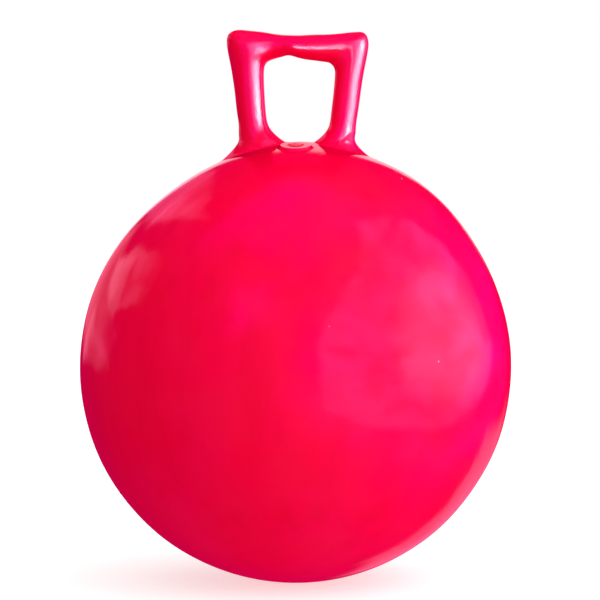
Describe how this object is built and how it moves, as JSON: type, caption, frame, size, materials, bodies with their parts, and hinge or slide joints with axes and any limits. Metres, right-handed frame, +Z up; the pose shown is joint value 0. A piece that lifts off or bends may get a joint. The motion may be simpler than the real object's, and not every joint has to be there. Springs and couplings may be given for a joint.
{
  "type": "hopper ball",
  "caption": "Inflatable hopper ball with a raised crown, a hollow loop handle to hold while sitting on it and a push-in air valve.",
  "frame": {"origin": "centre of the flat patch that the ball rests on, below the middle of the crown", "axes": "+Z up from the floor to the handle; +X along the hand bar; the valve is on the -Y side of the crown"},
  "size_m": [0.4498, 0.4498, 0.575],
  "materials": {
    "ball_skin": "glossy blown soft PVC",
    "handle_loop": "glossy blown soft PVC",
    "valve_seat": "satin moulded soft PVC",
    "valve_plug": "satin moulded soft PVC"
  },
  "bodies": {
    "ball": {"ball_skin": "ball_skin", "handle_loop": "handle_loop", "valve_seat": "valve_seat"},
    "plug": {"valve_plug": "valve_plug"}
  },
  "joints": [
    {"name": "plug_pull", "type": "slide", "parent": "ball", "child": "plug", "axis": [0, -0.2069, 0.9784], "range_m": [0, 0.03]}
  ]
}
